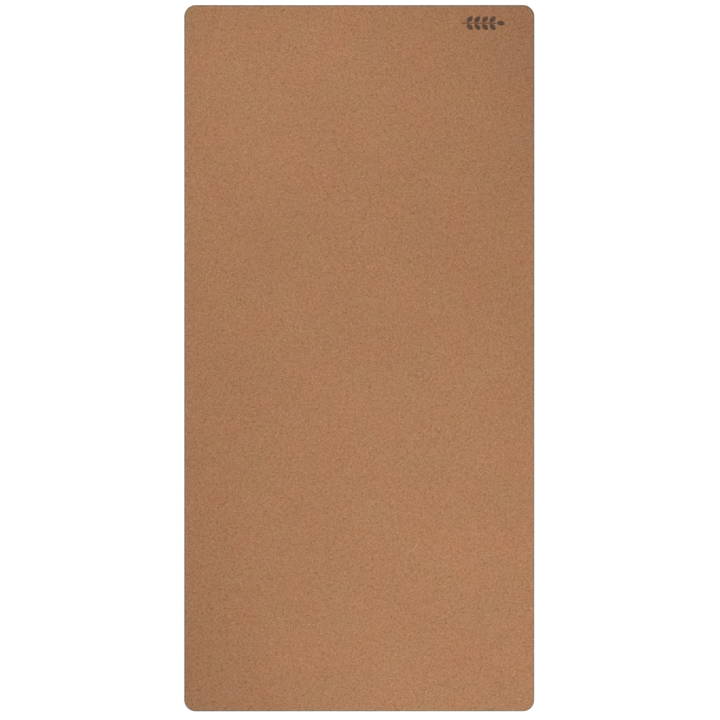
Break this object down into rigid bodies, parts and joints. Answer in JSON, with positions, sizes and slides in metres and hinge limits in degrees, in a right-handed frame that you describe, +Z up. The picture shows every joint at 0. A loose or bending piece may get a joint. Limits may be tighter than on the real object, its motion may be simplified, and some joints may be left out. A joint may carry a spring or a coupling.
{
  "type": "desk mat",
  "caption": "Long thin desk mat with rounded corners: a fine-grained cork writing and mousing face bonded to a dark non-slip rubber base, with a small printed leaf sprig near one corner.",
  "frame": {"origin": "centre of the underside, on the desk", "axes": "+Z up out of the work surface, +Y along the length towards the end with the print, +X to the right when the print is the right way up"},
  "size_m": [0.3964, 0.8, 0.003],
  "materials": {
    "cork": "matte fine-grained agglomerated cork, sanded",
    "film": "cloudy dried adhesive",
    "rubber": "matte foam rubber, embossed underneath",
    "ink": "matte screen ink"
  },
  "bodies": {
    "root": {"cork_face": "cork", "bonding_film": "film", "rubber_base": "rubber", "printed_sprig": "ink"}
  },
  "joints": []
}
